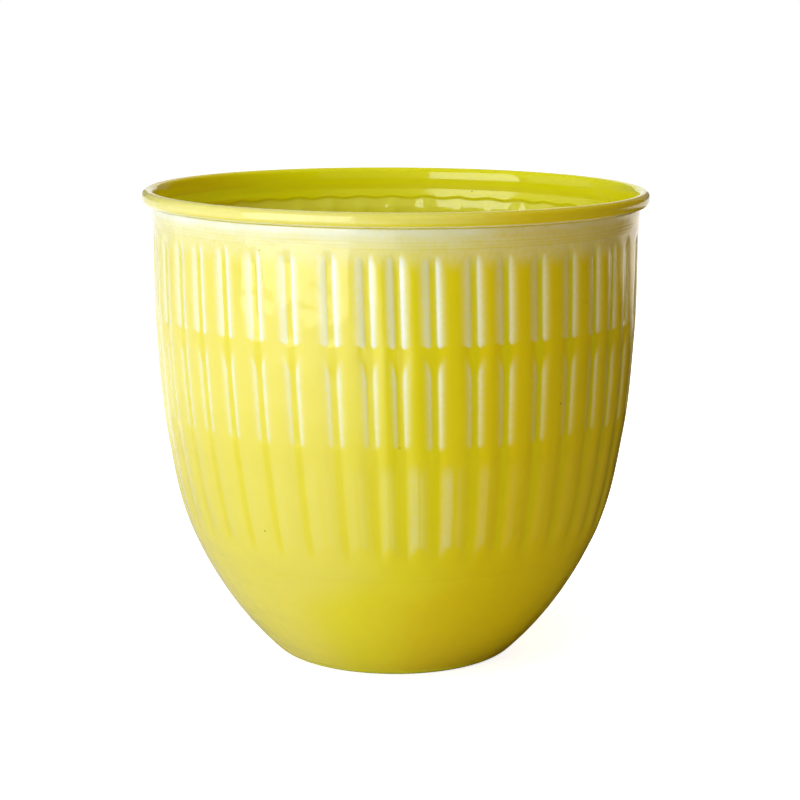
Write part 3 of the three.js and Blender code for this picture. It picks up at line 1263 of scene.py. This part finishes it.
@dataclass
class SolderSeam:
    """Seam of solder over the top of a collar, wiped smooth inside the pot and enamelled with the rest."""

    node: str
    section: Array
    pooling: float = 0.15
    sharpest: float = 60.0
    steps: int = 240

    def build(self) -> Object:
        """Turns the seam.

        Returns:
            The seam.
        """
        seam = turn(f"{self.node}_enamelled", closed(self.section), self.steps)
        smooth(seam, self.sharpest)
        return seam

    def dress(self, seam: Object, material: Material) -> None:
        """Stores an even coat with the inside's painted light, and gives the seam its finish.

        Args:
            seam: The built seam.
            material: Its finish.
        """
        # Inside the pot: the inside's painted light in full, no painted shade or painted light of the
        # outside, no thin places.
        even = {"thin": 0.0, "pool_and_shade": self.pooling, "lit_side": 0.0, "side_shade": 0.0, "inner": 1.0}
        for name, value in even.items():
            store(seam, name, np.full(len(seam.data.vertices), value))
        settle(seam, self.node, material)


def base_seam_section(outline: Outline, collar_top: float) -> Array:
    """Draws the hollow fillet on top of the bowl's collar, in the corner under the wall.

    Args:
        outline: The pot's outline.
        collar_top: Height of the collar's top.

    Returns:
        Points as rows of radius and height.
    """
    lift = 0.55
    tall = 1.2
    wide = 0.95
    gap = 0.05
    foot = collar_top + lift
    top = foot + tall
    foot_radius, top_radius = outline.point(np.array([foot, top]), SHEET + gap)[0]
    swing = np.radians(np.linspace(0.0, 90.0, 9))
    hollow = np.column_stack((
        top_radius - gap - wide * (1.0 - np.cos(swing)),
        top - (top - foot) * np.sin(swing),
    ))
    return np.vstack((hollow, [(foot_radius, foot), (top_radius, top)]))


def neck_seam_section(wall: FlutedWall, rim: RimRing) -> Array:
    """Draws the wiped seam on top of the wall's collar, feathered over the collar and over the rim ring.

    Args:
        wall: The wall, with its collar.
        rim: The rim ring round the collar.

    Returns:
        Points as rows of radius and height.
    """
    thickness = 0.03
    soft = 0.6
    down = 1.0
    up = 1.5
    behind = 0.4
    step = 2.0 * HAIR
    outer = wall.outline.levels[-1][1]
    foot_inset, top_inset = wall.collar_inside
    rise = (foot_inset - top_inset) / (wall.collar_top - wall.inner_zones[-1][0] - wall.collar_gap)
    collar = outer - top_inset
    ring = rim.waist_radius - SHEET
    foot = wall.collar_top - down
    top = rim.filled_from + up
    height = np.linspace(top, foot, 17)
    blend = ease(wall.collar_top - soft, rim.filled_from + soft, height)
    face = (collar + rise * (height - wall.collar_top)) * (1.0 - blend) + ring * blend - thickness
    back = [
        (collar - rise * down - HAIR, foot), (collar - HAIR, wall.collar_top + step),
        (outer - wall.collar_outside[1], wall.collar_top + step), (outer - behind, rim.filled_from - step),
        (ring - HAIR, rim.filled_from - step), (ring - HAIR, top),
    ]
    return np.vstack((np.column_stack((face, height)), back))


@dataclass(frozen=True)
class Softbox:
    """A plain soft light that faces the pot's axis from one side."""

    name: str
    azimuth: float
    distance: float
    height: float
    tilt: float
    size: Pair
    radiance: float
    colour: Triple
    mirrored: bool = False

    def place(self) -> None:
        """Sets the light up, upright or tilted down towards the pot."""
        lamp = bpy.data.lights.new(self.name, "AREA")
        lamp.shape = "RECTANGLE"
        lamp.size, lamp.size_y = self.size
        lamp.energy = self.radiance * math.pi * self.size[0] * self.size[1]
        lamp.color = self.colour
        light = bpy.data.objects.new(self.name, lamp)
        turned = Matrix.Rotation(math.radians(self.azimuth), 4, "Z")
        stood = Matrix.Translation((0.0, -self.distance, self.height))
        light.matrix_world = turned @ stood @ Matrix.Rotation(math.radians(90.0 - self.tilt), 4, "X")
        light.visible_camera = False
        light.visible_glossy = self.mirrored
        bpy.context.scene.collection.objects.link(light)


@dataclass(frozen=True)
class Card:
    """A card out of the camera's sight that only gloss shows: dark to deepen a colour, or glowing white."""

    name: str
    middle: Triple
    azimuth: float
    pitch: float
    size: Pair
    glow: float = 0.0
    roughness: float = 0.9

    def finish(self) -> Material:
        """Makes the card's matt finish, with its glow.

        Returns:
            The new material.
        """
        material, nodes, shader = new_material(self.name)
        nodes.fill(shader, {
            "Base Color": DARK, "Roughness": self.roughness, "Emission Color": WHITE,
            "Emission Strength": self.glow,
        })
        return material

    def place(self) -> None:
        """Sets the card up, with its place in its mesh."""
        deselect_all()
        bpy.ops.mesh.primitive_plane_add(size=1.0)
        card = bpy.context.object
        card.name = self.name
        turned = Matrix.Rotation(math.radians(self.azimuth), 4, "Z")
        pitched = Matrix.Rotation(math.radians(self.pitch), 4, "X")
        shaped = Matrix.Diagonal((self.size[0], self.size[1], 1.0, 1.0))
        card.data.transform(Matrix.Translation(self.middle) @ turned @ pitched @ shaped)
        card.data.materials.append(self.finish())
        card.visible_camera = False
        card.visible_shadow = False
        card.visible_diffuse = False


@dataclass
class Studio:
    """White floor and surround, soft lights, cards and the camera."""

    lens: float = 106.22
    sensor: float = 36.0
    camera_place: Triple = (0.0, -0.8407, 0.2449)
    camera_pitch: float = 10.338
    camera_yaw: float = -0.1223
    camera_roll: float = 0.275
    lights: tuple[Softbox, ...] = (
        Softbox("window_left", -43.0, 0.75, 0.36, 0.0, (0.70, 0.7), 2.28, (0.965, 1.0, 0.97), True),
        Softbox("window_far_left", -96.0, 0.75, 0.36, 0.0, (0.6, 0.7), 0.5, (0.965, 1.0, 0.97), True),
        Softbox("overhead", -15.0, 0.3, 1.25, 76.0, (1.0, 1.0), 2.1, (0.94, 1.0, 0.86)),
        Softbox("front", -20.0, 1.0, 0.22, 0.0, (1.0, 0.42), 1.22, (1.0, 0.97, 0.9)),
        Softbox("warm_right", 64.0, 1.0, 0.17, 0.0, (1.2, 0.32), 0.33, (1.0, 0.3, 0.12)),
        Softbox("warm_behind", 150.0, 1.0, 0.9, 42.0, (0.9, 0.9), 1.6, (1.0, 0.7, 0.35)),
    )
    cards: tuple[Card, ...] = (
        Card("card_right", (1.8, 0.3, 1.0), 90.0, 90.0, (4.8, 2.0)),
        Card("window_shine", (-0.5285, -0.5668, 0.36), -43.0, 90.0, (0.72, 0.72), 1.8),
        Card("card_behind", (0.0, 2.2, 1.0), 0.0, 90.0, (1.0, 2.4), 1.0),
    )
    ambient: Colour = (1.0, 0.9, 0.65, 1.0)
    ambient_strength: float = 0.1
    mirrored_surround: float = 0.2
    floor_colour: Colour = (0.92, 0.92, 0.91, 1.0)
    floor_size: float = 8.0
    shown_glow: Pair = (0.84, 1.0)
    mirrored_glow: Pair = (0.0, 0.9)
    glow_reach: Pair = (0.16, 0.5)
    shade_reach: Pair = (-0.06, 0.06)
    shade_end: Pair = (0.5, 1.1)

    def set_camera(self) -> None:
        """Stands the camera where the photographer stood."""
        data = bpy.data.cameras.new("camera")
        data.lens = self.lens
        data.sensor_width = self.sensor
        camera = bpy.data.objects.new("camera", data)
        turned = Matrix.Rotation(math.radians(self.camera_yaw), 3, "Z")
        pitched = Matrix.Rotation(math.radians(90.0 - self.camera_pitch), 3, "X")
        rolled = Matrix.Rotation(math.radians(self.camera_roll), 3, "Z")
        camera.location = self.camera_place
        camera.rotation_euler = (turned @ pitched @ rolled).to_euler()
        bpy.context.scene.collection.objects.link(camera)
        bpy.context.scene.camera = camera

    def rays(self, nodes: NodeTree) -> tuple[NodeSocket, NodeSocket]:
        """Marks rays from the camera, and rays in gloss or through glass.

        Args:
            nodes: The nodes of a material or world.

        Returns:
            An output that is 1 for each kind of ray.
        """
        path = nodes.add("ShaderNodeLightPath").outputs
        mirrored = nodes.math("MAXIMUM", path["Is Glossy Ray"], path["Is Transmission Ray"])
        return path["Is Camera Ray"], mirrored

    def set_world(self) -> None:
        """Surrounds the set with white, which lights the pot only dimly and warmly."""
        world = bpy.data.worlds.new("surround")
        world.use_nodes = True
        bpy.context.scene.world = world
        nodes = NodeTree(world.node_tree)
        world.node_tree.nodes.clear()
        camera, mirrored = self.rays(nodes)
        shown = nodes.plus(nodes.times(camera, 1.0 - self.mirrored_surround), self.mirrored_surround)
        white = nodes.add("ShaderNodeBackground", {"Color": WHITE, "Strength": shown})
        dim = nodes.add("ShaderNodeBackground", {"Color": self.ambient, "Strength": self.ambient_strength})
        seen = nodes.math("MAXIMUM", camera, mirrored)
        mixed = nodes.add("ShaderNodeMixShader", {0: seen, 1: dim.outputs[0], 2: white.outputs[0]})
        nodes.add("ShaderNodeOutputWorld", {"Surface": mixed.outputs[0]})

    def floor_finish(self) -> Material:
        """Builds the floor's white, which grows out of the pot's own shadow to the white of the surround.

        Returns:
            The new material.
        """
        material, nodes, _ = new_material("floor_white")
        material.node_tree.nodes.clear()
        place = nodes.place()
        away = nodes.add("ShaderNodeVectorMath", {0: place}, operation="LENGTH")
        far = nodes.span(away.outputs["Value"], *self.glow_reach)
        split = nodes.add("ShaderNodeSeparateXYZ", {0: place})
        right = nodes.span(split.outputs["X"], *self.shade_reach)
        behind = nodes.math("SUBTRACT", 1.0, nodes.span(split.outputs["Y"], *self.shade_end))
        camera, mirrored = self.rays(nodes)
        shade = nodes.times(nodes.times(right, behind), mirrored)
        parts = []
        for rays, (near, full) in ((camera, self.shown_glow), (mirrored, self.mirrored_glow)):
            parts.append(nodes.times(rays, nodes.plus(nodes.times(far, full - near), near)))
        strength = nodes.times(nodes.plus(*parts), nodes.math("SUBTRACT", 1.0, shade))
        glow = nodes.add("ShaderNodeEmission", {"Strength": strength})
        matt = nodes.add("ShaderNodeBsdfDiffuse", {"Color": nodes.blend(shade, self.floor_colour, DARK)})
        both = nodes.add("ShaderNodeAddShader", {0: matt.outputs[0], 1: glow.outputs[0]})
        nodes.add("ShaderNodeOutputMaterial", {"Surface": both.outputs[0]})
        return material

    def lay_floor(self) -> None:
        """Lays a white floor that keeps the pot's soft shadow."""
        deselect_all()
        bpy.ops.mesh.primitive_plane_add(size=self.floor_size)
        floor = bpy.context.object
        floor.name = "floor"
        floor.data.materials.append(self.floor_finish())

    def build(self) -> None:
        """Sets up the whole studio."""
        self.set_camera()
        self.set_world()
        self.lay_floor()
        for card in self.cards:
            card.place()
        for light in self.lights:
            light.place()
        bpy.context.scene.view_settings.view_transform = "Standard"
        log.info("studio: %d lights, %d cards", len(self.lights), len(self.cards))


def main() -> None:
    """Builds the pot and its studio."""
    logging.basicConfig(level=logging.INFO, format="%(name)s %(message)s")
    peel = orange_peel_group()
    thin = thin_coat_group()
    specks = speck_group()
    enamel = EnamelFinish(Slot.ENAMEL).make(peel, thin, specks)
    solder = EnamelFinish(Slot.SOLDER, roughness=0.13, peel_height=0.09).make(peel, thin, specks)
    steel = WireFinish().make(peel)

    outline = Outline()
    bowl = BaseBowl(outline)
    wall = FlutedWall(outline)
    rim = RimRing()
    wire = RimWire(rim)
    base_seam = SolderSeam("base_solder", base_seam_section(outline, bowl.collar_top))
    neck_seam = SolderSeam("neck_solder", neck_seam_section(wall, rim))
    finishes = (enamel, enamel, enamel, steel, solder, solder)
    for part, finish in zip((bowl, wall, rim, wire, base_seam, neck_seam), finishes):
        part.dress(part.build(), finish)

    Studio().build()


if __name__ == "__main__":
    main()
